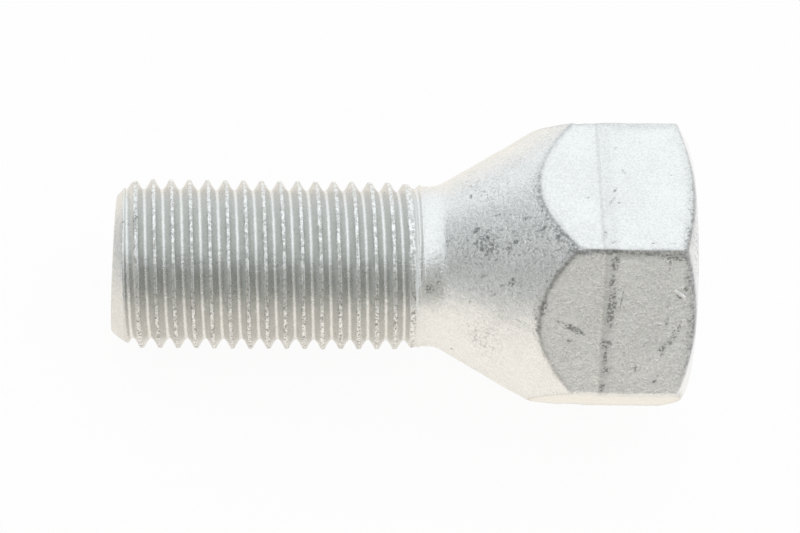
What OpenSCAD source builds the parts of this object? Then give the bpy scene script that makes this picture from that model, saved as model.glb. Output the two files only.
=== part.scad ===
// Wheel bolt with a 60 degree conical seat, cold forged in one piece and zinc plated.
// It lies as it comes to rest on a table: on one flat of its head and on the first full
// turn of its thread. The table is z = 0, the tip points to -X and the head to +X.
// The threaded length is drawn smooth, at the diameter over the thread's crests.

/* [Thread] */
// Diameter over the crests of the thread
thread_d = 11.75; // [11.3:0.05:12.6]
// Length from the tip face to the end of the last full turn
thread_len = 20.4; // [12:0.2:40]
// Diameter of the flat face at the tip
tip_d = 9.4; // [6:0.1:11]
// Length of the lead-in chamfer behind the tip face
tip_len = 1.6; // [0.6:0.1:4]

/* [Neck] */
// Diameter of the plain neck, which is the bar that the thread was rolled on
neck_d = 11.1; // [10.2:0.05:11.6]
// Length from the last full turn to the corner where the seat begins
neck_len = 2; // [1.2:0.1:12]
// Angle of the slope where the thread runs out into the neck
runout_angle = 30; // [20:1:60]
// Radius of the hollow between the neck and the seat
seat_fillet_r = 2; // [0.4:0.1:3]

/* [Conical seat] */
// Included angle of the conical seat
seat_angle = 60; // [50:1:90]

/* [Head] */
// Length from the corner where the seat begins to the end face
head_len = 17.3; // [15:0.1:30]
// Size across the flats of the hexagon
hex_af = 18.7; // [18:0.05:22]
// Length of the full-size hexagon, measured back from the end face
hex_len = 6.65; // [3:0.05:8]
// Depth by which the front of each flat lies below the full size
flat_step = 0.07; // [0.02:0.01:0.4]
// Radius along the six corners of the hexagon
corner_r = 0.5; // [0.2:0.05:1.5]
// Diameter of the flat end face
end_face_d = 17.5; // [12:0.1:18.6]
// Angle of the end chamfer, measured from the end face
end_chamfer_angle = 30; // [15:1:45]

/* [Hidden] */
$fn = 96;

zinc = [0.74, 0.75, 0.75];

// Stations along the axis, counted from the tip face
seat_x = thread_len + neck_len;
bolt_len = seat_x + head_len;
hex_x = bolt_len - hex_len;

// Radii
thread_r = thread_d / 2;
neck_r = neck_d / 2;
tip_r = tip_d / 2;
end_r = end_face_d / 2;
full_r = hex_corner(hex_af, corner_r);
front_af = hex_af - 2 * flat_step;

// The slopes of the seat and of the end chamfer, as radius gained for each mm of length
seat_slope = tan(seat_angle / 2);
end_slope = 1 / tan(end_chamfer_angle);

// The turned blank is wider than the hexagon's corners, and the hexagon's envelope is longer
// than the blank, by this much, so that one trims the other
spare = 0.5;
blank_r = full_r + spare;

// How far a blending arc is set past the faces beside it, so that they meet at a clean edge
hair = 0.0005;

// At rest the first full turn of the thread touches the table, and so does the bottom flat,
// at the front point of its arc or at the front of its full-size part, whichever is reached first
flat_front_x = seat_x + (front_af / 2 - neck_r) / seat_slope;
rest_tilt = max(rise_angle(flat_front_x, front_af / 2), rise_angle(hex_x, hex_af / 2));
rest_z = thread_r * cos(rest_tilt) - tip_len * sin(rest_tilt);

// The origin lies midway between the tip face's upper edge and the end face's lower edge
rest_x = ((tip_r - end_r) * sin(rest_tilt) - bolt_len * cos(rest_tilt)) / 2;

// Angle between the axis and the line from the first full turn of the thread to a point at
// station x and radius r
function rise_angle(x, r) = atan((r - thread_r) / (x - tip_len));

// Distance from the axis to the rounded corner of a hexagon
function hex_corner(af, r) = (af / 2 - r) / cos(30) + r;

// Half outline of the bolt before its hexagon is formed: x is the radius, y the station
module turned_outline() {
    polygon([
        [0, 0],
        [tip_r, 0],
        [thread_r, tip_len],
        [thread_r, thread_len],
        [neck_r, thread_len + (thread_r - neck_r) / tan(runout_angle)],
        [neck_r, seat_x],
        [blank_r, seat_x + (blank_r - neck_r) / seat_slope],
        [blank_r, bolt_len - (blank_r - end_r) / end_slope],
        [end_r, bolt_len],
        [0, bolt_len]
    ]);
    seat_fillet();
}

// Fills the corner between the neck and the seat up to a hollow of seat_fillet_r
module seat_fillet() {
    reach = seat_fillet_r * tan(seat_angle / 4);
    centre = [neck_r + seat_fillet_r, seat_x - reach];
    on_seat = [neck_r, seat_x] + reach * [sin(seat_angle / 2), cos(seat_angle / 2)];
    inside_r = neck_r * 0.8;
    difference() {
        polygon([
            [inside_r, centre.y],
            centre,
            on_seat,
            [inside_r, on_seat.y]
        ]);
        translate(centre)
            circle(r = seat_fillet_r + hair);
    }
}

// Hexagonal bar with rounded corners, its flats facing along x and its length along z
module hex_bar(af, r, length) {
    linear_extrude(length)
        hexagon(af, r);
}

module hexagon(af, r) {
    flat_half = (af / 2 - r) * tan(30);
    polygon([
        for (k = [0:5])
            for (side = [-1, 1])
                turned([af / 2, side * flat_half], 60 * k)
    ]);
    for (k = [0:5])
        rotate(30 + 60 * k)
            translate([(af / 2 - r) / cos(30), 0])
                circle(r = r + hair);
}

// A point turned about the origin by an angle
function turned(p, angle) = [
    p.x * cos(angle) - p.y * sin(angle),
    p.x * sin(angle) + p.y * cos(angle)
];

// The hexagon's envelope: its front reaches past the seat, and its full-size rear past the end
module hexagon_envelope() {
    hex_bar(front_af, corner_r, bolt_len + spare);
    translate([0, 0, hex_x])
        hex_bar(hex_af, corner_r, hex_len + spare);
}

// The bolt standing on its tip, with its axis along z
module upright_bolt() {
    intersection() {
        rotate_extrude()
            turned_outline();
        hexagon_envelope();
    }
}

// The bolt at rest on the table
module wheel_bolt() {
    color(zinc)
        translate([rest_x, 0, rest_z])
            rotate([0, 90 - rest_tilt, 0])
                upright_bolt();
}

wheel_bolt();
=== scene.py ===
import math

import bpy
import numpy as np
from mathutils import Matrix, Vector, noise


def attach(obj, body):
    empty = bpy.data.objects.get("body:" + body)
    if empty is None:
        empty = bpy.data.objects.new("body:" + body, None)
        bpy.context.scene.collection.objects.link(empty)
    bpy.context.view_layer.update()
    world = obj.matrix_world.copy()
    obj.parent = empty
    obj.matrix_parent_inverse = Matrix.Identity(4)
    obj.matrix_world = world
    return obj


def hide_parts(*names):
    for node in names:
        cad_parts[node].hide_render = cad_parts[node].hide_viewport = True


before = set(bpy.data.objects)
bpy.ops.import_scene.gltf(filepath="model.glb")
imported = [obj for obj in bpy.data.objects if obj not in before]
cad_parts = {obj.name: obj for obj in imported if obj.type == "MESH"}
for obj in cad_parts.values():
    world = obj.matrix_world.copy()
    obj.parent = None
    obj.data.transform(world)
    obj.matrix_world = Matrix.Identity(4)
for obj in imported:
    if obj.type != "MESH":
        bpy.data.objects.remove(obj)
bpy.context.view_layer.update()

# Wheel bolt, one piece: thread, neck, conical seat and hexagon head, zinc coated.
# Sizes of the bolt are millimetres, and those of the stage are metres. A station is a distance
# along the bolt's axis from the tip face, and an angle is counted round the axis from the top
# flat's normal towards +Y.

MM = 0.001

# Thread, right-hand. Its crests are less full towards the head, and its last groove runs out
# into the neck
PITCH = 1.25
PITCH_R = 5.475
ROOT_R = 5.155
ROOT_ROUND = 0.18
FLANK_SLOPE = math.tan(math.radians(60))
FIRST_CREST = 0.435
NECK_R = 5.55
RUN_OUT_START = 21.2
CREST_BLEND = 0.09
ROOT_BLEND = 0.03

# Radii over the crests and in the roots, each with its station
CREST_RADII = (
    (1, 5.86), (10, 5.84), (19.5, 5.79), (20.1, 5.71), (20.7, 5.66), (RUN_OUT_START, NECK_R)
)
ROOT_RADII = ((20.3, ROOT_R), (20.85, 5.37), (21.1, 5.40), (RUN_OUT_START, NECK_R))

# Tip, whose face is slightly slanted, and the rounded envelope that trims the first turns
TIP_R = 4.7
TIP_ROUND_LEN = 2.6
TIP_ROUND_POWER = 2.1
TIP_SLANT = 0.15
ENVELOPE_R = 5.88
ENVELOPE_BLEND = 0.06

# Sizes that are those of the CAD solid: its thread's radius and tip chamfer, the seat, the fillet
THREAD_R = 5.875
TIP_LEN = 1.6
SEAT_X = 22.4
SEAT_HALF_ANGLE = math.radians(30)
SEAT_SLOPE = math.tan(SEAT_HALF_ANGLE)
FILLET_R = 2.0

# Head
BOLT_LEN = 39.62
HEX_AF = 18.7
FRONT_AF = 18.56
HEX_X = 33.05
HALF_STEP_LEN = 0.2
CORNER_R = 0.26
END_R = 8.93
END_SLOPE = 1 / math.tan(math.radians(30))
ARC_BLEND = 0.09
RIM_BLEND = 0.12
SIXTH_TURN = math.radians(60)

# The head was forged this far off the shank's axis, towards this angle
HEAD_SHIFT = 0.12
SHIFT_ANGLE = math.radians(54)

# The bolt's place at rest, on the front point of the bottom flat and the first full turn of
# thread. It follows from the length and the end face of the CAD solid, which are a little
# different from those above
DRAWN_LEN = 39.7
DRAWN_END_R = 8.75
FLAT_FRONT_X = SEAT_X + (FRONT_AF / 2 - NECK_R) / SEAT_SLOPE
REST_TILT = math.atan((FRONT_AF / 2 - THREAD_R) / (FLAT_FRONT_X - TIP_LEN))
REST_Z = THREAD_R * math.cos(REST_TILT) - TIP_LEN * math.sin(REST_TILT)
REST_X = ((TIP_R - DRAWN_END_R) * math.sin(REST_TILT) - DRAWN_LEN * math.cos(REST_TILT)) / 2

# Heights of the unevenness of the seat, the end chamfer, the whole head, the crests and their
# seam, and the depth of the knocks on the corners
SEAT_LUMPS = 0.03
CHAMFER_LUMPS = 0.04
HEAD_WAVES = 0.012
CREST_LUMPS = 0.03
SEAM_DEPTH = 0.035
KNOCK_DEPTH = 0.15

# Stations between which the crests' lumps and seam begin, and end
CREST_START = (0.9, 1.4)
CREST_END = (20.7, 21.2)

# Mesh of the thread. The half profile is the rows' distances from the middle of a crest
THREAD_COLUMNS = 150
HELIX_START = 0.3
HELIX_END = 21.45
HELIX_MARGIN = 0.02
HALF_PROFILE = (0.03, 0.06, 0.085, 0.11, 0.14, 0.2, 0.3, 0.4, 0.465, 0.505, 0.545, 0.585)
TIP_EDGE_STATIONS = (0.15, 0.05)

# Mesh of the head, whose columns move from even angles to the corners along the cluster length
HEAD_COLUMNS = 2 * THREAD_COLUMNS
FIRST_HEAD_RING = 21.65
FILLET_STATIONS = np.linspace(21.85, 22.95, 9)
CLUSTER_START = 22
CLUSTER_END = 25
CLUSTERING = 0.75

# Rows beside the head's edges, as distances from the arcs, the step and the rim of the chamfer
ARC_ROWS = (-0.24, -0.17, -0.11, -0.055, 0, 0.055, 0.11, 0.17, 0.24)
STEP_ROWS = (-0.19, -0.13, -0.065, 0, 0.065, 0.13, 0.19)
RIM_ROWS = (-0.11, -0.07, -0.035, 0, 0.035, 0.07)

# How far from each edge the rows between the edges begin and end, and their shares of the way
ARC_MARGIN = 0.32
STEP_MARGIN = 0.25
RIM_MARGIN = 0.16
CONE_SHARES = np.linspace(0, 1, 24)[1:]
FRONT_SHARES = np.linspace(0, 1, 9)
REAR_SHARES = np.linspace(0, 1, 13)
CHAMFER_SHARES = (0.2, 0.4, 0.6, 0.8, 0.94)

# Rings on the two end faces: station and radius
TIP_RINGS = ((0.01, 4.69), (0.0, 4.63), (0.0, 3.4), (0.0, 1.7))
END_RINGS = (
    (BOLT_LEN - 0.01, END_R - 0.02),
    (BOLT_LEN, END_R - 0.1),
    (BOLT_LEN, 7.6),
    (BOLT_LEN, 5.2),
    (BOLT_LEN, 2.6),
)
END_FACE_DEPTH = 0.02


def smooth_step(low, high, value):
    """0 up to low and 1 from high on."""
    t = np.clip((value - low) / (high - low), 0, 1)
    return t * t * (3 - 2 * t)


def bell(value, middle, width):
    """1 in the middle, and towards 0 on both sides of it."""
    return np.exp(-(((value - middle) / width) ** 2))


def interpolate(table, places, **settings):
    """Values at the given places, from a table of places and values."""
    known, values = zip(*table)
    return np.interp(places, known, values, **settings)


def smooth_min(a, b, blend):
    """The smaller of two values, with a rounded change where they are nearly equal."""
    share = np.clip(0.5 + 0.5 * (b - a) / blend, 0, 1)
    return b + (a - b) * share - blend * share * (1 - share)


def smooth_max(a, b, blend):
    return -smooth_min(-a, -b, blend)


def bolt_points(station, radius, angle):
    """Points in the bolt's own axes: x along the axis, z along the top flat's normal."""
    return np.stack(
        [station, radius * np.sin(angle), radius * np.cos(angle)], axis=-1
    )


def field(points, size, seed=0.0):
    """Smooth noise about 0 with lumps of the given size, at each point."""
    flat = points.reshape(-1, 3) / size + seed
    values = [noise.noise(p) for p in flat.tolist()]
    return np.array(values).reshape(points.shape[:-1])


# Radii of the bolt's parts


def crest_offset(station, angle):
    """Distance along the axis from the middle of the nearest crest."""
    turns = (station - FIRST_CREST + PITCH * angle / (2 * math.pi)) / PITCH
    return (np.mod(turns + 0.5, 1) - 0.5) * PITCH


def thread_radius(station, angle):
    """Thread with rounded crests and roots, within the envelope at the tip, run out at the neck."""
    offset = np.abs(crest_offset(station, angle))
    flank = PITCH_R + (PITCH / 4 - offset) * FLANK_SLOPE
    crest = interpolate(CREST_RADII, station)
    from_root = np.minimum(PITCH / 2 - offset, 0.95 * ROOT_ROUND)
    root = interpolate(ROOT_RADII, station) + ROOT_ROUND
    root = root - np.sqrt(ROOT_ROUND**2 - from_root**2)
    radius = smooth_max(smooth_min(flank, crest, CREST_BLEND), root, ROOT_BLEND)
    left = np.clip(1 - station / TIP_ROUND_LEN, 0, 1)
    envelope = ENVELOPE_R - (ENVELOPE_R - TIP_R) * left**TIP_ROUND_POWER
    radius = smooth_min(radius, envelope, ENVELOPE_BLEND)
    run_out = smooth_step(RUN_OUT_START, HELIX_END, station)
    return radius + (NECK_R - radius) * run_out


def turned_radius(station):
    """Neck, hollow fillet and conical seat."""
    reach = FILLET_R * math.tan(SEAT_HALF_ANGLE / 2)
    start = SEAT_X - reach
    end = SEAT_X + reach * math.cos(SEAT_HALF_ANGLE)
    inside = np.clip(station - start, 0, end - start)
    fillet = NECK_R + FILLET_R - np.sqrt(FILLET_R**2 - inside**2)
    cone = NECK_R + (station - SEAT_X) * SEAT_SLOPE
    return np.where(station > end, cone, fillet)


def hexagon_radius(angle, across_flats):
    """Distance from the axis to a hexagon with rounded corners."""
    half = SIXTH_TURN / 2
    off = np.abs(np.mod(angle + half, SIXTH_TURN) - half)
    inner = across_flats / 2 - CORNER_R
    centre = inner / math.cos(half)
    beside = centre * np.sin(half - off)
    beyond = np.sqrt(np.clip(CORNER_R**2 - beside**2, 0, None))
    rounded = centre * np.cos(half - off) + beyond
    flat_end = math.atan(inner * math.tan(half) / (across_flats / 2))
    return np.where(off > flat_end, rounded, across_flats / 2 / np.cos(off))


def arc_station(angle):
    """Station where the conical seat meets the front of the hexagon."""
    return SEAT_X + (hexagon_radius(angle, FRONT_AF) - NECK_R) / SEAT_SLOPE


def chamfer_station(angle):
    """Station where the hexagon meets the end chamfer."""
    return BOLT_LEN - (hexagon_radius(angle, HEX_AF) - END_R) / END_SLOPE


def head_radius(station, angle):
    """Neck, seat, hexagon and end chamfer. The seat and the chamfer are slightly uneven."""
    points = bolt_points(station, turned_radius(station), angle)
    uneven = smooth_step(23, 26, station)
    seat = turned_radius(station) + uneven * SEAT_LUMPS * field(points, 1.1, seed=5.0)
    step = smooth_step(HEX_X - HALF_STEP_LEN, HEX_X + HALF_STEP_LEN, station)
    front = hexagon_radius(angle, FRONT_AF)
    hexagon = front + (hexagon_radius(angle, HEX_AF) - front) * step
    chamfer = END_R + (BOLT_LEN - station) * END_SLOPE
    chamfer = chamfer + CHAMFER_LUMPS * field(points, 1.5, seed=9.0)
    return smooth_min(smooth_min(seat, hexagon, ARC_BLEND), chamfer, RIM_BLEND)


# Rows and columns of the mesh


class Skin:
    """Collects the vertices and faces of one closed surface."""

    def __init__(self):
        self.points = []
        self.faces = []
        self.count = 0

    def add(self, points):
        """Adds an array of points and gives back their indices in the same shape."""
        flat = points.reshape(-1, 3)
        indices = np.arange(self.count, self.count + len(flat))
        self.points.append(flat)
        self.count += len(flat)
        return indices.reshape(points.shape[:-1])

    def face(self, corners):
        """Adds a face, given clockwise as seen from outside, without corners that repeat.

        A face with fewer than three corners left isn't added.
        """
        kept = [c for i, c in enumerate(corners) if c != corners[i - 1]]
        if len(kept) > 2:
            self.faces.append(kept[::-1])

    def band(self, low, high):
        """Joins two rings of as many points."""
        count = len(low)
        for j in range(count):
            k = (j + 1) % count
            self.face([low[j], low[k], high[k], high[j]])

    def doubling_band(self, low, high):
        """Joins a ring to one with twice as many points."""
        count = len(low)
        for j in range(count):
            k = (j + 1) % count
            after = high[(2 * j + 2) % len(high)]
            self.face([low[j], high[2 * j + 1], high[2 * j]])
            self.face([low[j], low[k], high[2 * j + 1]])
            self.face([low[k], after, high[2 * j + 1]])

    def cap(self, edge, centre, facing_tip):
        """Closes a ring with triangles round its centre."""
        for j in range(len(edge)):
            pair = [edge[j], edge[(j + 1) % len(edge)]]
            self.face([centre] + (pair[::-1] if facing_tip else pair))


def ring(station, radius, angles):
    """Points of one ring. The radius is one number, or one for each angle."""
    full = np.ones_like(angles)
    return bolt_points(station * full, radius * full, angles)


def helix_rows():
    """Row stations at angle 0, which follow the profile of each turn."""
    turn = sorted([0.0, PITCH / 2] + [s * o for s in (-1, 1) for o in HALF_PROFILE])
    first = math.floor((HELIX_START - PITCH) / PITCH)
    last = math.ceil((HELIX_END + PITCH) / PITCH)
    rows = [FIRST_CREST + k * PITCH + o for k in range(first, last) for o in turn]
    return np.array(rows), len(turn)


def build_thread(skin, angles):
    """Rows that follow the helix, cut off at a ring at each end."""
    rows, per_turn = helix_rows()
    station = rows[:, None] - PITCH * angles[None, :] / (2 * math.pi)
    low = station < HELIX_START + HELIX_MARGIN
    high = station > HELIX_END - HELIX_MARGIN
    clipped = np.clip(station, HELIX_START, HELIX_END)
    angle = np.broadcast_to(angles, clipped.shape)
    radius = thread_radius(clipped, angle)
    points = bolt_points(clipped, radius, angle)
    start = skin.add(ring(HELIX_START, thread_radius(HELIX_START, angles), angles))
    end = skin.add(ring(HELIX_END, thread_radius(HELIX_END, angles), angles))
    index = np.where(low, start[None, :], end[None, :])
    inside = ~(low | high)
    index[inside] = skin.add(points[inside])
    count = len(angles)
    for i in range(len(rows) - 1):
        for j in range(count):
            if j < count - 1:
                beyond = index[i, j + 1], index[i + 1, j + 1]
            elif i >= per_turn:
                beyond = index[i - per_turn, 0], index[i + 1 - per_turn, 0]
            else:
                beyond = start[0], start[0]
            skin.face([index[i, j], beyond[0], beyond[1], index[i + 1, j]])
    return start, end


def build_tip(skin, start, angles):
    """Rings from the start of the helix to the middle of the tip's face."""
    rings = [start]
    for station in TIP_EDGE_STATIONS:
        radius = thread_radius(station, angles)
        rings.append(skin.add(ring(station, radius, angles)))
    for station, radius in TIP_RINGS:
        rings.append(skin.add(ring(station, radius, angles)))
    for high, low in zip(rings, rings[1:]):
        skin.band(low, high)
    centre = skin.add(np.array([[0.0, 0.0, 0.0]]))[0]
    skin.cap(rings[-1], centre, facing_tip=True)


def head_angles():
    """Angles of the head's columns, closer together at the six corners."""
    per_side = HEAD_COLUMNS // 6
    share = (np.arange(per_side) / per_side) * 2 - 1
    off = share - CLUSTERING * np.sin(math.pi * share) / math.pi
    sides = [math.radians(60 * k - 150) + SIXTH_TURN / 2 * off for k in range(6)]
    return np.concatenate(sides)


def between(low, high, shares):
    """Rows at the given shares of the way from one row to another."""
    return [low + (high - low) * s for s in shares]


def head_stations(angles):
    """Rows of the head, one array of stations each, which follow its edges."""
    arc = arc_station(angles)
    rim = chamfer_station(angles)
    level = np.ones_like(angles)
    fillet = [level * s for s in FILLET_STATIONS]
    cone = between(fillet[-1], arc - ARC_MARGIN, CONE_SHARES)
    arc_edge = [arc + d for d in ARC_ROWS]
    front = between(arc + ARC_MARGIN, level * (HEX_X - STEP_MARGIN), FRONT_SHARES)
    step = [level * (HEX_X + d) for d in STEP_ROWS]
    rear = between(level * (HEX_X + STEP_MARGIN), rim - RIM_MARGIN, REAR_SHARES)
    rim_edge = [rim + d for d in RIM_ROWS]
    chamfer = between(rim_edge[-1], level * BOLT_LEN, CHAMFER_SHARES)
    return fillet + cone + arc_edge + front + step + rear + rim_edge + chamfer


def build_head(skin, end, thread_angles):
    """Rows from the end of the helix to the middle of the end face."""
    even = np.concatenate([[a, a + math.pi / THREAD_COLUMNS] for a in thread_angles])
    first = skin.add(ring(FIRST_HEAD_RING, NECK_R, even))
    skin.doubling_band(end, first)
    clustered = head_angles()
    previous = first
    for station in head_stations(clustered):
        share = smooth_step(CLUSTER_START, CLUSTER_END, station)
        angle = even + (clustered - even) * share
        radius = head_radius(station, angle)
        current = skin.add(bolt_points(station, radius, angle))
        skin.band(previous, current)
        previous = current
    for station, radius in END_RINGS:
        current = skin.add(ring(station, radius, clustered))
        skin.band(previous, current)
        previous = current
    centre = skin.add(np.array([[BOLT_LEN, 0.0, 0.0]]))[0]
    skin.cap(previous, centre, facing_tip=False)


# Unevenness of the rolled and forged surface


def crest_share(station, angle):
    """1 on the crests of the thread, and 0 on its flanks."""
    inside = smooth_step(*CREST_START, station) * (1 - smooth_step(*CREST_END, station))
    return inside * (1 - smooth_step(0.09, 0.19, np.abs(crest_offset(station, angle))))


def past_corner(radius, angle):
    """Distance round the head past the nearest corner of the hexagon, towards smaller angles."""
    return radius * (SIXTH_TURN / 2 - np.mod(angle, SIXTH_TURN))


def crest_change(points, station, angle):
    """Lumps along the crests of the thread, and a seam where they closed."""
    lumps = CREST_LUMPS * field(points, 0.5) + CREST_LUMPS * field(points, 1.7, seed=3.0)
    offset = crest_offset(station, angle) - 0.06 * field(points, 2.3, seed=7.0)
    seam = SEAM_DEPTH * bell(offset, 0, SEAM_DEPTH) * (0.5 + field(points, 0.9, seed=11.0))
    return crest_share(station, angle) * (lumps - seam)


def corner_knocks(points, station, angle, radius):
    """Knocks on the corners of the hexagon, except the lower one towards the camera."""
    near_corner = smooth_step(29.5, 31.5, station) * bell(past_corner(radius, angle), 0, 0.22)
    near_corner = near_corner * (1 - bell(np.degrees(angle), -90, 12))
    knocks = np.clip(field(points, 0.7, seed=13.0) - 0.08, 0, None) * KNOCK_DEPTH
    return near_corner * knocks


def roughen(points):
    """Makes the thread and the head uneven, but not the end faces."""
    station = points[:, 0]
    angle = np.arctan2(points[:, 1], points[:, 2])
    radius = np.hypot(points[:, 1], points[:, 2])
    waves = HEAD_WAVES * field(points, 2.6, seed=17.0) * smooth_step(24, 27, station)
    head_change = waves - corner_knocks(points, station, angle, radius)
    head_change = head_change * (station < BOLT_LEN - END_FACE_DEPTH)
    change = crest_change(points, station, angle) + head_change
    grown = np.where(radius > 0.1, (radius + change) / np.maximum(radius, 0.1), 1)
    return points * np.stack([np.ones_like(grown), grown, grown], axis=-1)


def set_off_axis(points):
    """Slants the tip's face, and moves the head off the shank's axis."""
    station = points[:, 0]
    across = points[:, 1] * math.sin(SHIFT_ANGLE) + points[:, 2] * math.cos(SHIFT_ANGLE)
    slant = TIP_SLANT * (1 + across / TIP_R) * (1 - smooth_step(0, 1.2, station))
    shift = HEAD_SHIFT * smooth_step(26.5, 30.5, station)
    moved = [slant, shift * math.sin(SHIFT_ANGLE), shift * math.cos(SHIFT_ANGLE)]
    return points + np.stack(moved, axis=-1)


# The two facets towards the camera, by the angle of their normals in degrees
UPPER_FACET = 0
LOWER_FACET = -60

# How dark the head's edges are, each as an angle round the bolt in degrees and a share. Along the
# arcs, the rim and the corners this is wear and painted dark reflection of the camera side
ARC_WEAR_AND_REFLECTION = (
    (-180, 0.4), (-150, 0.6), (-120, 0.3), (-92, 0.2), (-85, 0.48), (-78, 0.42), (-71, 0.54),
    (-64, 0.82), (-56, 0.82), (-48, 0.62), (-41, 0.85), (-35, 0.88), (-25, 0.95), (-18, 0.95),
    (-12, 0.84), (-4, 0.78), (4, 0.65), (11, 0.48), (18, 0.37), (28, 0.45), (60, 0.4),
    (90, 0.6), (120, 0.4), (150, 0.6), (180, 0.4),
)
RIM_WEAR_AND_REFLECTION = (
    (-180, 0.4), (-150, 0.5), (-110, 0.3), (-90, 0.2), (-82, 0.65), (-68, 1.0), (-52, 0.9),
    (-38, 0.95), (-22, 0.85), (-8, 0.75), (8, 0.5), (22, 0.3), (60, 0.4), (90, 0.5),
    (120, 0.4), (150, 0.5), (180, 0.4),
)
CORNER_WEAR_AND_REFLECTION = ((-150, 0.45), (-90, 0.0), (-30, 0.9), (30, 0.25), (90, 0.45), (150, 0.45))
STEP_DARKNESS = (
    (-180, 0.3), (-145, 0.05), (-94, 0.05), (-87, 0.36), (-32, 0.36), (-28, 0.28), (-8, 0.2),
    (60, 0.2), (180, 0.3),
)

# Angle of the corner between the two facets towards the camera, where the head's edges are darkest,
# from wear and from painted dark reflection
NEAR_CORNER = -30

# Flecked places of the neck and the seat: share, angle and its width, station and its length
FLECKED_PLACES = (
    (1.1, -24, 14, 25.4, 1.3),
    (0.75, -47, 13, 22, 1.1),
    (0.65, -46, 12, 26.5, 4),
)


class HeadPlaces:
    """Where each point lies from the head's edges. Distances are positive beyond an edge."""

    def __init__(self, points):
        self.station = points[:, 0]
        self.angle = np.arctan2(points[:, 1], points[:, 2])
        self.degrees = np.degrees(self.angle)
        self.radius = np.hypot(points[:, 1], points[:, 2])
        self.past_arc = self.beyond(arc_station)
        self.past_rim = self.beyond(chamfer_station)
        self.past_corner = past_corner(self.radius, self.angle)
        before_rim = 1 - smooth_step(0, 0.2, self.past_rim)
        self.on_flats = smooth_step(-0.1, 0.2, self.past_arc) * before_rim
        before_arc = 1 - smooth_step(-0.2, 0.2, self.past_arc)
        self.on_seat = smooth_step(21.6, 22.2, self.station) * before_arc
        self.outside_end_face = smooth_step(END_R - 0.4, END_R - 0.05, self.radius)

    def beyond(self, edge_station):
        """Distance past an edge, at a right angle to it."""
        small = 0.002
        rise = edge_station(self.angle + small) - edge_station(self.angle - small)
        slope = rise / (2 * small) / np.maximum(self.radius, 1)
        return (self.station - edge_station(self.angle)) / np.hypot(1, slope)

    def wear(self, table):
        """Darkness of an edge, from its table, at each point's angle."""
        return interpolate(table, self.degrees, period=360)


def worn_chamfer(head):
    """Most at the worn corner of the end chamfer."""
    return bell(head.degrees, -28, 18) * head.outside_end_face


def worn_and_reflected_corners(head):
    """Dark lines along the corners, wider and fainter to the rear, and the front end of the near
    one: wear, and painted dark reflection where the corners face the camera.
    """
    rear = smooth_step(33.6, 34.4, head.station)
    line = bell(head.past_corner, 0.08 + 0.14 * rear, 0.13 + 0.14 * rear) * (1 - 0.3 * rear)
    line = head.wear(CORNER_WEAR_AND_REFLECTION) * line * head.on_flats
    meeting = bell(head.past_corner, 0.15, 0.25) * bell(head.past_arc, 0.2, 0.7)
    meeting = 0.9 * meeting * bell(head.degrees, NEAR_CORNER, 15)
    return np.maximum(line, meeting)


def darker_step_line(head):
    """A line along the step of the flats, with a fainter strip behind it."""
    past_step = head.station - HEX_X
    strip = 0.45 * smooth_step(0.1, 0.25, past_step) * (1 - smooth_step(0.7, 1.1, past_step))
    middle = 0.23 - 0.22 * smooth_step(NEAR_CORNER - 4, NEAR_CORNER + 4, head.degrees)
    line = bell(past_step, middle, 0.15)
    return head.wear(STEP_DARKNESS) * np.maximum(strip, line) * head.on_flats


def worn_and_reflected_edge_shares(head):
    """How dark each point is along the head's edges, from wear and from painted dark reflection."""
    arc = head.wear(ARC_WEAR_AND_REFLECTION) * bell(head.past_arc, 0.08, 0.16)
    rim = head.wear(RIM_WEAR_AND_REFLECTION) * head.outside_end_face * bell(head.past_rim, 0.03, 0.16)
    return np.maximum.reduce([arc, rim, worn_and_reflected_corners(head), darker_step_line(head)])


def edge_flecks(head):
    """Flecks beside the edges, on the lower facet and on the worn end chamfer."""
    arc = head.wear(ARC_WEAR_AND_REFLECTION) * bell(head.past_arc, -0.12, 0.4)
    rim = 0.9 * head.wear(RIM_WEAR_AND_REFLECTION) * bell(head.past_rim, -0.1, 0.3) * head.outside_end_face
    corner = head.wear(CORNER_WEAR_AND_REFLECTION) * bell(head.past_corner, 0.22, 0.25)
    step = 0.55 * head.wear(STEP_DARKNESS) * bell(head.station, HEX_X + 0.5, 0.4)
    facet = 0.4 * bell(head.degrees, LOWER_FACET, 27)
    flats = np.maximum.reduce([corner, step, facet]) * head.on_flats
    chamfer = 0.5 * worn_chamfer(head) * smooth_step(0.08, 0.25, head.past_rim)
    return np.maximum.reduce([arc, rim, flats, chamfer])


def seat_flecks(head, points):
    """Flecks of the neck and the seat: a band with its thicker places, and patches all round."""
    band = 0.7 * bell(head.degrees, -26, 23) * smooth_step(22.2, 23.6, head.station)
    patches = np.clip(0.18 + 0.8 * field(points, 3.5, seed=21.0), 0.05, 0.52)
    flecks = np.maximum(band, patches)
    for share, angle, width, station, length in FLECKED_PLACES:
        place = share * bell(head.degrees, angle, width) * bell(head.station, station, length)
        flecks = np.maximum(flecks, place)
    return head.on_seat * flecks


def painted_light_shares(head):
    """Painted light: how much each point is brightened towards white, on the end chamfer and the
    seat, away from their worn sides.
    """
    chamfer = smooth_step(0.04, 0.16, head.past_rim) * (1 - 0.9 * worn_chamfer(head))
    seat = 0.4 * head.on_seat * (1 - bell(head.degrees, -28, 42))
    return np.maximum(chamfer, seat)


def painted_warm_reflection_shares(head):
    """Painted reflection: how much each point takes the cream colour of the floor's reflection, on
    the flat below the lower facet alone.
    """
    return smooth_step(0.25, 0.6, bell(head.degrees, -120, 24) * head.on_flats)


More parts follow.
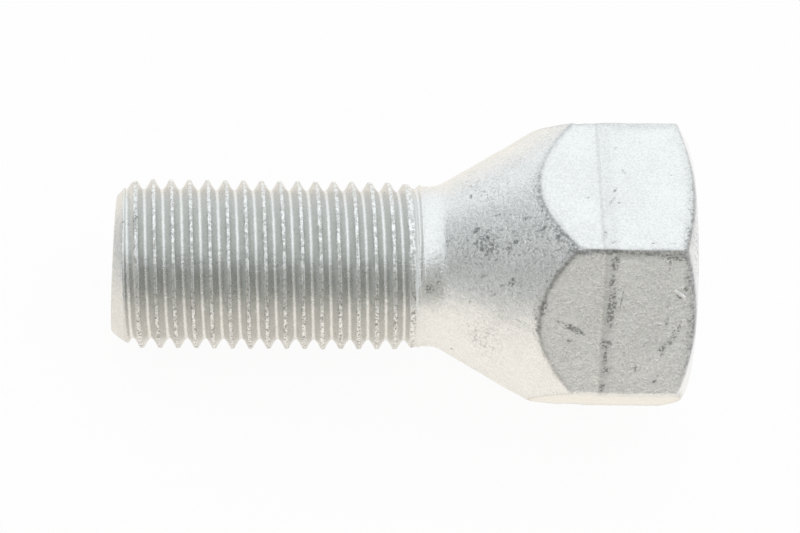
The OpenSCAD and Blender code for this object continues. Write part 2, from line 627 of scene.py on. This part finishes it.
def add_shares(mesh, points):
    """Gives each vertex the shares that the material reads."""
    head = HeadPlaces(points)
    shares = {
        "rubbed_and_dark_reflection": worn_and_reflected_edge_shares(head),
        "flecks": np.maximum(edge_flecks(head), seat_flecks(head, points)),
        "painted_light": painted_light_shares(head),
        "painted_warm_reflection": painted_warm_reflection_shares(head),
    }
    for name, values in shares.items():
        attribute = mesh.attributes.new(name, "FLOAT", "POINT")
        attribute.data.foreach_set("value", np.clip(values, 0, 1).astype(np.float32))


def rest_matrix():
    """From the bolt's own axes in mm to its place on the table in metres."""
    turn = Matrix.Rotation(-REST_TILT, 4, "Y")
    return Matrix.Translation(Vector((REST_X, 0, REST_Z)) * MM) @ turn @ Matrix.Scale(MM, 4)


def make_bolt():
    angles = np.arange(THREAD_COLUMNS) * 2 * math.pi / THREAD_COLUMNS - math.pi
    skin = Skin()
    start, end = build_thread(skin, angles)
    build_tip(skin, start, angles)
    build_head(skin, end, angles)
    points = np.concatenate(skin.points)
    mesh = bpy.data.meshes.new("wheel_bolt_skin")
    mesh.from_pydata(set_off_axis(roughen(points)).tolist(), [], skin.faces)
    add_shares(mesh, points)
    mesh.transform(rest_matrix())
    mesh.update()
    mesh.shade_smooth()
    bolt = bpy.data.objects.new("wheel_bolt_skin", mesh)
    bpy.context.scene.collection.objects.link(bolt)
    return bolt


# Materials

# Sockets of a mix node's colours, which share their names with its other sockets
MIX_FIRST = 6
MIX_SECOND = 7
MIX_RESULT = 2


class Nodes:
    """Adds shader nodes. Each input is given as a value, or as another node's output."""

    def __init__(self, material):
        material.use_nodes = True
        self.tree = material.node_tree

    def add(self, kind, inputs=(), output=0, **settings):
        node = self.tree.nodes.new(kind)
        for name, value in settings.items():
            setattr(node, name, value)
        for key, value in dict(inputs).items():
            self.feed(node.inputs[key], value)
        return node.outputs[output]

    def feed(self, socket, value):
        if isinstance(value, bpy.types.NodeSocket):
            self.tree.links.new(value, socket)
        else:
            socket.default_value = value

    def math(self, operation, *values):
        return self.add("ShaderNodeMath", enumerate(values), operation=operation)

    def chain(self, operation, values):
        """Joins the values one after another."""
        values = iter(values)
        result = next(values)
        for value in values:
            result = self.math(operation, result, value)
        return result

    def product(self, *values):
        return self.chain("MULTIPLY", values)

    def highest(self, *values):
        return self.chain("MAXIMUM", values)

    def total(self, *values):
        return self.chain("ADD", values)

    def mask(self, value, low, high, start=0.0, end=1.0):
        """From start to end as value goes from low to high. Low may be above high."""
        inputs = {"Value": value, "From Min": low, "From Max": high, "To Min": start, "To Max": end}
        return self.add("ShaderNodeMapRange", inputs, interpolation_type="SMOOTHSTEP")

    def fall(self, value, low, high):
        """1 up to low and 0 from high on."""
        return self.mask(value, high, low)

    def mix(self, share, first, second):
        inputs = {0: share, MIX_FIRST: first, MIX_SECOND: second}
        return self.add("ShaderNodeMix", inputs, output=MIX_RESULT, data_type="RGBA")

    def noise(self, where, size, detail=2.0, roughness=0.5):
        inputs = {"Vector": where, "Scale": 1 / size, "Detail": detail, "Roughness": roughness}
        return self.add("ShaderNodeTexNoise", inputs)

    def attribute(self, name):
        return self.add("ShaderNodeAttribute", output="Fac", attribute_name=name)

    def object_place(self):
        return self.add("ShaderNodeTexCoord", output="Object")

    def add_output(self, surface):
        output = self.tree.nodes.new("ShaderNodeOutputMaterial")
        self.tree.links.new(surface, output.inputs["Surface"])

    def vector(self, operation, *values, output=0):
        inputs = enumerate(values)
        return self.add("ShaderNodeVectorMath", inputs, output=output, operation=operation)

    def in_box(self, where, place, turn, size):
        """Coordinates in a box of the given place, turn and half size."""
        inputs = {"Vector": self.vector("SUBTRACT", where, place), "Rotation": turn}
        settings = {"rotation_type": "EULER_XYZ", "invert": True}
        turned = self.add("ShaderNodeVectorRotate", inputs, **settings)
        return self.vector("DIVIDE", turned, size)


# Marks on the upper and lower facet: facet, station, distance across the facet, length, width,
# and the angle of the length to the bolt's axis in degrees
MARK_STRENGTHS = {UPPER_FACET: 0.6, LOWER_FACET: 1.0}
FACET_MARKS = (
    (UPPER_FACET, 36.05, 3.8, 0.4, 0.12, 0),
    (UPPER_FACET, 34.3, 3.25, 0.4, 0.2, 30),
    (UPPER_FACET, 34.7, 1.2, 0.6, 0.2, -65),
    (UPPER_FACET, 34.05, -0.3, 0.8, 0.25, 62),
    (UPPER_FACET, 33.75, -1.3, 1.1, 0.25, 60),
    (UPPER_FACET, 34.25, -1.4, 0.3, 0.2, 0),
    (UPPER_FACET, 38.0, 1.0, 0.45, 0.12, 0),
    (UPPER_FACET, 32.2, -0.9, 0.7, 0.2, 5),
    (UPPER_FACET, 33.8, -4.7, 0.9, 0.3, 0),
    (UPPER_FACET, 36.5, -4.75, 0.8, 0.2, 0),
    (UPPER_FACET, 37.6, -4.75, 0.7, 0.2, 0),
    (UPPER_FACET, 33.2, -4.0, 0.8, 0.25, 90),
    (LOWER_FACET, 33.6, 5.3, 1.2, 0.5, 0),
    (LOWER_FACET, 33.85, 4.6, 1.5, 0.7, 85),
    (LOWER_FACET, 33.7, 3.3, 1.2, 0.4, 75),
    (LOWER_FACET, 33.75, 1.2, 3.4, 0.7, 86),
    (LOWER_FACET, 34.4, 1.95, 1.6, 0.13, 82),
    (LOWER_FACET, 33.5, -1.5, 0.9, 0.8, 0),
    (LOWER_FACET, 33.6, -3.4, 0.7, 0.5, 20),
    (LOWER_FACET, 33.4, -4.7, 0.8, 0.4, 70),
    (LOWER_FACET, 33.5, -2.5, 1.4, 0.3, 88),
    (LOWER_FACET, 30.2, 0.15, 0.5, 0.25, 0),
    (LOWER_FACET, 31.3, -0.4, 2.0, 0.5, -29),
    (LOWER_FACET, 31.05, -1.25, 0.5, 0.25, 0),
    (LOWER_FACET, 29.2, 1.2, 1.4, 0.5, 80),
    (LOWER_FACET, 38.2, 2.1, 0.9, 0.2, -34),
    (LOWER_FACET, 38.7, 2.7, 0.6, 0.35, 50),
    (LOWER_FACET, 38.7, 3.5, 0.7, 0.18, 20),
    (LOWER_FACET, 37.5, 4.5, 1.0, 0.2, 88),
    (LOWER_FACET, 38.35, -0.3, 1.4, 0.3, 76),
    (LOWER_FACET, 37.65, -1.4, 0.7, 0.6, 0),
    (LOWER_FACET, 37.4, -2.1, 0.6, 0.3, 60),
    (LOWER_FACET, 37.5, 0.3, 0.9, 0.3, 80),
    (LOWER_FACET, 38.0, -0.9, 1.3, 0.35, 78),
    (LOWER_FACET, 37.3, -1.75, 0.8, 0.45, 30),
    (LOWER_FACET, 37.5, 1.4, 0.4, 0.2, 45),
    (LOWER_FACET, 36.8, -4.3, 0.8, 0.25, 25),
    (LOWER_FACET, 37.1, -3.8, 0.35, 0.2, 0),
    (LOWER_FACET, 35.6, -3.3, 0.5, 0.3, 60),
    (LOWER_FACET, 34.8, -2.2, 0.5, 0.2, 90),
    (LOWER_FACET, 36.1, 5.2, 1.0, 0.3, 0),
    (LOWER_FACET, 37.3, 5.0, 1.1, 0.45, 0),
    (LOWER_FACET, 38.2, 4.9, 1.2, 0.45, 0),
)

# A bright nick, given in the same way
NICK = (LOWER_FACET, 38.25, 2.33, 0.95, 0.2, -34)

# Marks on the tip, the thread, the neck and the seat: station, angle round the bolt, length,
# width, and the angle of the length to the bolt's axis, both angles in degrees
ROUND_MARKS = (
    (0.85, -4, 0.3, 0.3, 0),
    (1.7, -4, 0.5, 0.9, 0),
    (21.7, -52, 0.7, 0.7, 45),
    (22.9, -20, 0.8, 0.3, 90),
    (23.46, -103, 0.4, 0.3, 0),
    (24.5, 9, 0.6, 0.2, 90),
    (24.4, -57, 0.4, 0.15, 90),
    (24.8, -15, 0.6, 0.4, 30),
    (25.3, -20, 1.3, 0.3, 0),
    (25.1, -26, 1.2, 0.25, 90),
    (25.45, -26, 1.3, 0.25, 90),
    (25.8, -24, 0.9, 0.3, 90),
    (25.3, -41, 0.5, 0.25, 20),
    (26.15, -9, 0.6, 0.25, 0),
    (26.7, -27, 0.8, 0.3, 0),
    (27.2, -25, 0.9, 0.4, 40),
    (27.1, -43, 0.8, 0.5, 60),
    (28.1, -14, 0.6, 0.3, 0),
    (29.0, -20, 0.8, 0.3, 20),
    (30.1, -24, 0.9, 0.4, 40),
)

# How far a mark reaches into the metal, from its middle
MARK_DEPTH = 0.6


def facet_place(facet, station, across):
    """Axes on one flat of the head, with z along its normal."""
    turn = Matrix.Rotation(math.radians(-facet), 4, "X")
    return turn @ Matrix.Translation((station, across, HEX_AF / 2))


def round_place(station, angle):
    """Axes on the round part, with z along its radius."""
    turn = Matrix.Rotation(math.radians(-angle), 4, "X")
    return turn @ Matrix.Translation((station, 0, float(turned_radius(np.array(station)))))


def mark(nodes, where, place, length, width, turn, strength=1.0):
    """A streak on the surface, as strong as given in its middle and 0 outside."""
    place = place @ Matrix.Rotation(math.radians(turn), 4, "Z")
    size = (length / 2, width / 2, MARK_DEPTH)
    local = nodes.in_box(where, place.to_translation(), place.to_euler(), size)
    return nodes.mask(nodes.vector("LENGTH", local, output="Value"), 1.3, 0.4, 0.0, strength)


def all_marks(nodes, where):
    """Each mark is joined to those before it as it is made, which keeps the shader small."""
    placed = []
    for facet, station, across, *size in FACET_MARKS:
        placed.append((facet_place(facet, station, across), *size, MARK_STRENGTHS[facet]))
    for station, angle, *size in ROUND_MARKS:
        placed.append((round_place(station, angle), *size))
    return nodes.chain("MAXIMUM", (mark(nodes, where, *values) for values in placed))


# Colours of the coating, of its thread and of its wear, and of painted light, painted reflection
# and painted shade
ZINC = (0.90, 0.895, 0.88, 1)
ZINC_DULL = (0.80, 0.795, 0.78, 1)
# Painted light on the end chamfer and the seat
PAINTED_LIGHT = (0.98, 0.98, 0.98, 1)
# Painted reflection of the floor, cream, on the bottom flat
PAINTED_WARM_REFLECTION = (0.97, 0.93, 0.87, 1)
# Flanks: partly a darker finish with less zinc, partly painted shade in the grooves; lighter at the
# top and bottom sides as painted light
FLANK_WITH_SHADE = (0.655, 0.66, 0.64, 1)
FLANK_PAINTED_LIGHT = (0.75, 0.745, 0.725, 1)
CREST = (0.58, 0.575, 0.55, 1)
CREST_DARK = (0.32, 0.31, 0.28, 1)
# Colour of a real nick, and of the painted highlight along the crests' seam
BRIGHT_NICK_AND_HIGHLIGHT = (0.96, 0.96, 0.95, 1)
# Worn zinc, and painted dark reflection along the head's edges
RUBBED_AND_DARK_REFLECTION = (0.28, 0.27, 0.27, 1)
FLECK = (0.27, 0.275, 0.275, 1)
PIT = (0.18, 0.18, 0.18, 1)

# Noises of the coating: size in mm, detail and roughness
NOISES = {
    "grain": (0.15, 2, 0.6),
    "lumps": (0.45, 2, 0.5),
    "specks": (0.25, 5, 0.75),
    "crumbs": (0.18, 3, 0.7),
    "clouds": (2.4, 2, 0.5),
}

# Angle of the side of the thread that is lowest in the picture, which the thread's painted light
# and shade follow
LOWEST_SIDE = math.radians(-126)

# Stations between which the thread's colours begin, and the last turns' painted seam highlight
# grows wider
THREAD_START = (0.75, 1.1)
WIDER_SEAM_HIGHLIGHT = (19.7, 20.4)

# Distances from the middle of a crest between which it ends, its flank begins and ends, and
# the painted seam highlight ends
CREST_SIDE = (0.12, 0.22)
FLANK_TOP = (0.09, 0.15)
FLANK_FOOT = (0.47, 0.53)
SEAM_HIGHLIGHT_SIDE = (0.07, 0.17)

# Heights in the bump of the coating: grain, lumps, nick, crests, and the depth of the wear
GRAIN_HEIGHT = 0.032
LUMP_HEIGHT = 0.03
NICK_HEIGHT = 0.08
CREST_HEIGHT = 0.012
WEAR_DEPTH = 0.012


def nearest_crest(nodes, x, y, z):
    """Distance along the axis from the middle of the nearest crest, as in crest_offset."""
    angle = nodes.math("ARCTAN2", y, z)
    along = nodes.product(nodes.math("SUBTRACT", x, FIRST_CREST), 1 / PITCH)
    turns = nodes.total(along, nodes.product(angle, 0.5 / math.pi))
    part = nodes.math("FRACT", nodes.total(turns, 0.5))
    return nodes.product(nodes.math("SUBTRACT", part, 0.5), PITCH)


def seam_highlight_share(nodes, where, x, inside, offset):
    """Painted highlight: a wavy and broken bright line along the crests' seam, wider in the last
    turns.
    """
    wobble = nodes.product(nodes.math("SUBTRACT", nodes.noise(where, 0.9), 0.5), 0.25)
    from_seam = nodes.math("ABSOLUTE", nodes.math("SUBTRACT", offset, wobble))
    from_seam = nodes.math("SUBTRACT", from_seam, nodes.mask(x, *WIDER_SEAM_HIGHLIGHT, 0.0, 0.12))
    whole = nodes.mask(nodes.noise(where, 0.35, 3, 0.6), 0.44, 0.52)
    return nodes.product(inside, nodes.fall(from_seam, *SEAM_HIGHLIGHT_SIDE), whole)


def side_for_painted_light(nodes, y, z):
    """1 at the thread's lowest side in the picture, 0 towards the camera, -1 at the top side. The
    thread's painted light and shade follow it.
    """
    y_part = nodes.product(y, math.sin(LOWEST_SIDE) / THREAD_R)
    z_part = nodes.product(z, math.cos(LOWEST_SIDE) / THREAD_R)
    return nodes.total(y_part, z_part)


def thread_parts(nodes, where):
    """Shares that are crest, flank and painted seam highlight, and the side of the thread that the
    painted light and shade follow. The tip is part flank.
    """
    x, y, z = nodes.add("ShaderNodeSeparateXYZ", {0: where}).node.outputs
    offset = nearest_crest(nodes, x, y, z)
    from_crest = nodes.math("ABSOLUTE", offset)
    inside = nodes.product(nodes.mask(x, *THREAD_START), nodes.fall(x, *CREST_END))
    crest = nodes.product(inside, nodes.fall(from_crest, *CREST_SIDE))
    beside_crest = nodes.mask(from_crest, *FLANK_TOP)
    outside_root = nodes.fall(from_crest, *FLANK_FOOT)
    tip = nodes.mask(x, 0.9, 0.7, 0.0, 0.4)
    flank = nodes.highest(nodes.product(inside, beside_crest, outside_root), tip)
    seam = seam_highlight_share(nodes, where, x, inside, offset)
    return crest, flank, seam, side_for_painted_light(nodes, y, z)


def thread_colour(nodes, where, colour, crumbs):
    """Colour with the thread's flanks and crests added, and how high the crests stand."""
    crest, flank, seam, side = thread_parts(nodes, where)
    painted_light_sides = nodes.mask(nodes.math("ABSOLUTE", side), 0.35, 0.85)
    # Flanks darker, partly for less zinc and partly as painted shade in the grooves, and lighter at
    # the top and bottom sides in the picture as painted light
    colour = nodes.mix(flank, colour, nodes.mix(painted_light_sides, FLANK_WITH_SHADE, FLANK_PAINTED_LIGHT))
    # Crests a duller grey, and darker still towards the camera as painted shade
    crest_dullness_and_shade = nodes.product(crest, nodes.mask(painted_light_sides, 0.0, 1.0, 0.8, 0.25))
    colour = nodes.mix(crest_dullness_and_shade, colour, CREST)
    # Painted highlight along the seam, strong at the top and lowest sides in the picture, faint
    # between
    below = nodes.mask(side, 0.35, 0.6, 0.15, 0.95)
    above = nodes.mask(side, 0.14, -0.02, 0.0, 0.9)
    seam = nodes.product(seam, nodes.total(below, above))
    colour = nodes.mix(seam, colour, BRIGHT_NICK_AND_HIGHLIGHT)
    # Dark specks on the crests, and more of them towards the lowest side in the picture as painted
    # shade
    dark = nodes.product(crest, nodes.mask(crumbs, 0.53, 0.58))
    dark = nodes.product(dark, nodes.mask(side, 0.0, 0.3, 0.45, 0.85))
    colour = nodes.mix(dark, colour, CREST_DARK)
    return colour, crest, nodes.math("SUBTRACT", seam, dark)


def flecked_share(nodes, flecks, noises):
    """Specks and fine grit, in the places with flecks."""
    level = nodes.total(noises["specks"], nodes.product(flecks, 0.16))
    strength = nodes.mask(flecks, 0.2, 0.9, 0.25, 0.78)
    spots = nodes.product(nodes.mask(level, 0.61, 0.71), strength)
    grit = nodes.product(flecks, nodes.mask(noises["grain"], 0.48, 0.6), 0.27)
    return nodes.highest(spots, grit)


def pitted_share(nodes, marks, noises):
    """A few pits scattered all over, and the crumbled middle and the smudge of each mark."""
    in_places = nodes.mask(noises["clouds"], 0.46, 0.6)
    scattered = nodes.product(nodes.mask(noises["specks"], 0.66, 0.72), in_places)
    level = nodes.total(noises["crumbs"], nodes.product(marks, 0.06))
    strength = nodes.mask(marks, 0.0, 0.8, 0.0, 0.75)
    scuffed = nodes.product(nodes.mask(level, 0.54, 0.59), strength)
    return nodes.highest(nodes.product(scattered, 0.3), scuffed, nodes.product(marks, 0.12))


def zinc_colour(nodes, where, noises, marks):
    """Colour of the coating, the share of it that is worn, and how high its crests stand."""
    rubbed_and_dark_reflection = nodes.attribute("rubbed_and_dark_reflection")
    flecks = nodes.attribute("flecks")

    level = nodes.total(noises["grain"], nodes.product(noises["clouds"], 0.35))
    colour = nodes.mix(nodes.mask(level, 0.575, 0.815), ZINC, ZINC_DULL)
    # Painted reflection: the bottom flat tinted cream as by the floor
    colour = nodes.mix(nodes.attribute("painted_warm_reflection"), colour, PAINTED_WARM_REFLECTION)
    # Painted light: the end chamfer and the seat brightened towards white
    colour = nodes.mix(nodes.attribute("painted_light"), colour, PAINTED_LIGHT)
    colour, crest, crest_height = thread_colour(nodes, where, colour, noises["crumbs"])

    # Wear and painted dark reflection along the head's edges
    worn_and_reflected_edge = nodes.product(rubbed_and_dark_reflection, nodes.mask(noises["specks"], 0.36, 0.6, 0.53, 1.0))
    colour = nodes.mix(worn_and_reflected_edge, colour, RUBBED_AND_DARK_REFLECTION)
    flecked = flecked_share(nodes, flecks, noises)
    colour = nodes.mix(flecked, colour, FLECK)
    colour = nodes.mix(pitted_share(nodes, marks, noises), colour, PIT)
    worn = nodes.highest(rubbed_and_dark_reflection, flecked, nodes.product(crest, 0.4))
    return colour, worn, crest_height


def zinc_material():
    material = bpy.data.materials.new("zinc")
    nodes = Nodes(material)
    shader = material.node_tree.nodes["Principled BSDF"]
    place = Vector((REST_X, 0, REST_Z)) * MM
    where = nodes.in_box(nodes.object_place(), place, (0, -REST_TILT, 0), (MM, MM, MM))
    noises = {name: nodes.noise(where, *values) for name, values in NOISES.items()}
    marks = all_marks(nodes, where)
    nick = mark(nodes, where, facet_place(*NICK[:3]), *NICK[3:])

    colour, worn, crest_height = zinc_colour(nodes, where, noises, marks)
    nodes.feed(shader.inputs["Base Color"], nodes.mix(nick, colour, BRIGHT_NICK_AND_HIGHLIGHT))
    shader.inputs["Metallic"].default_value = 1

    smooth = nodes.mask(noises["lumps"], 0.3, 0.7, 0.25, 0.35)
    roughness = nodes.total(smooth, nodes.product(worn, 0.15))
    nodes.feed(shader.inputs["Roughness"], roughness)

    height = nodes.total(
        nodes.product(noises["grain"], GRAIN_HEIGHT),
        nodes.product(noises["lumps"], LUMP_HEIGHT),
        nodes.product(nick, NICK_HEIGHT),
        nodes.product(crest_height, CREST_HEIGHT),
        nodes.product(worn, -WEAR_DEPTH),
    )
    bump = nodes.add("ShaderNodeBump", {"Strength": 1.0, "Distance": MM, "Height": height})
    nodes.feed(shader.inputs["Normal"], bump)
    return material


# Stage

FLOOR_HALF = 3.0
FLOOR_COLOUR = (0.95, 0.93, 0.9, 1)
WHITE = (1, 1, 1, 1)

# Colours of the floor in reflections: near the camera, far from it and to the left, and the
# places between which the far, the left and the white right part begin
NEAR_GLOW = (1.0, 0.965, 0.9, 1)
FAR_GLOW = (1.0, 1.0, 0.985, 1)
LEFT_GLOW = (0.6, 0.61, 0.64, 1)
FAR_START = (0.03, 0.07)
LEFT_START = (-0.055, -0.115)
RIGHT_START = (0.021, 0.035)

# Share of what the camera sees of the floor that glows. The rest takes the bolt's shadow
CAMERA_GLOW = 0.94

WORLD_COLOUR = (0.95, 1.0, 1.02, 1)

LAMP_PLACE = (0, 0.25, 0.7)
LAMP_SIZE = 0.7
LAMP_POWER = 0.12
LAMP_COLOUR = (0.95, 1.0, 1.03)

# Dark cards: name, middle of the foot, width and height, and the greys of the foot and the top
CARDS = (
    ("front_card", (-0.1, -0.5, 0), (0.9, 0.8), (0.62, 0.6, 0.565), (0.36, 0.35, 0.33)),
    ("left_card", (-0.6, 0.03, 0.07), (0.85, 0.31), (0.62, 0.61, 0.59), (0.3, 0.3, 0.3)),
)
CARD_ROUGHNESS = 0.9

# Camera: place in mm, directions to the right and up in the picture, lens and sensor in mm, and
# where its view begins
CAMERA_PLACE = (-35.84657, -140.78365, 198.71531)
CAMERA_RIGHT = (0.98537136, -0.02072725, 0.16915573)
CAMERA_UP = (-0.08287522, 0.80902645, 0.58190024)
CAMERA_LENS = 155.13
CAMERA_SENSOR = 36
CAMERA_CLIP = 0.01


def floor_glow(nodes, camera):
    """White to the camera. In reflections the floor is warmer near it, and darker to the left."""
    place = nodes.object_place()
    x, y, z = nodes.add("ShaderNodeSeparateXYZ", {0: place}).node.outputs
    glow = nodes.mix(nodes.mask(y, *FAR_START), NEAR_GLOW, FAR_GLOW)
    glow = nodes.mix(nodes.mask(x, *LEFT_START), glow, LEFT_GLOW)
    glow = nodes.mix(nodes.mask(x, *RIGHT_START), glow, WHITE)
    return nodes.mix(camera, glow, WHITE)


def floor_material():
    """Glows as a white background does, with a part that takes the bolt's shadow."""
    material = bpy.data.materials.new("white_floor")
    nodes = Nodes(material)
    material.node_tree.nodes.clear()
    camera, glossy, transmission = [
        nodes.add("ShaderNodeLightPath", output=f"Is {kind} Ray")
        for kind in ("Camera", "Glossy", "Transmission")
    ]
    shown = nodes.highest(nodes.product(camera, CAMERA_GLOW), glossy, transmission)
    diffuse = nodes.add("ShaderNodeBsdfDiffuse", {"Color": FLOOR_COLOUR})
    colour = floor_glow(nodes, camera)
    glow = nodes.add("ShaderNodeEmission", {"Color": colour, "Strength": 1.0})
    nodes.add_output(nodes.add("ShaderNodeMixShader", {0: shown, 1: diffuse, 2: glow}))
    return material


def make_plane(name, corners, material):
    """A stage object of one face, which isn't part of the bolt."""
    mesh = bpy.data.meshes.new(name)
    mesh.from_pydata(corners, [], [(0, 1, 2, 3)])
    mesh.materials.append(material)
    plane = bpy.data.objects.new(name, mesh)
    bpy.context.scene.collection.objects.link(plane)
    return plane


def make_floor():
    half = FLOOR_HALF
    corners = [(-half, -half, 0), (half, -half, 0), (half, half, 0), (-half, half, 0)]
    make_plane("floor", corners, floor_material())


def card_material(name, height, low_grey, high_grey):
    material = bpy.data.materials.new(name)
    nodes = Nodes(material)
    shader = material.node_tree.nodes["Principled BSDF"]
    level = nodes.add("ShaderNodeSeparateXYZ", {0: nodes.object_place()}, output="Z")
    share = nodes.mask(level, 0, 0.8 * height)
    nodes.feed(shader.inputs["Base Color"], nodes.mix(share, (*low_grey, 1), (*high_grey, 1)))
    shader.inputs["Roughness"].default_value = CARD_ROUGHNESS
    return material


def make_card(name, foot, size, low_grey, high_grey):
    """An upright dark card beside the table, turned to the bolt. The camera doesn't see it."""
    width, height = size
    outline = [(-width / 2, 0), (width / 2, 0), (width / 2, height), (-width / 2, height)]
    corners = [(x, 0, z) for x, z in outline]
    card = make_plane(name, corners, card_material(name, height, low_grey, high_grey))
    card.location = foot
    card.rotation_euler.z = math.atan2(foot[1], foot[0]) - math.pi / 2
    card.visible_camera = False


def make_world():
    world = bpy.data.worlds.new("studio")
    world.use_nodes = True
    background = world.node_tree.nodes["Background"]
    background.inputs["Color"].default_value = WORLD_COLOUR
    background.inputs["Strength"].default_value = 1
    bpy.context.scene.world = world


def make_lamp():
    data = bpy.data.lights.new("overhead", "AREA")
    data.size = LAMP_SIZE
    data.energy = LAMP_POWER
    data.color = LAMP_COLOUR
    lamp = bpy.data.objects.new("overhead", data)
    lamp.location = LAMP_PLACE
    lamp.rotation_euler = lamp.location.to_track_quat("Z", "Y").to_euler()
    bpy.context.scene.collection.objects.link(lamp)


def make_camera():
    data = bpy.data.cameras.new("camera")
    data.lens = CAMERA_LENS
    data.sensor_width = CAMERA_SENSOR
    data.clip_start = CAMERA_CLIP
    camera = bpy.data.objects.new("camera", data)
    right, up = Vector(CAMERA_RIGHT), Vector(CAMERA_UP)
    turn = Matrix((right, up, right.cross(up))).transposed()
    camera.matrix_world = Matrix.Translation(Vector(CAMERA_PLACE) * MM) @ turn.to_4x4()
    bpy.context.scene.collection.objects.link(camera)
    bpy.context.scene.camera = camera


make_camera()
make_world()
make_floor()
for card in CARDS:
    make_card(*card)
make_lamp()
bolt = make_bolt()
bolt.data.materials.append(zinc_material())
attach(bolt, "root")
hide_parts("wheel_bolt")
bpy.context.scene.view_settings.view_transform = "Standard"
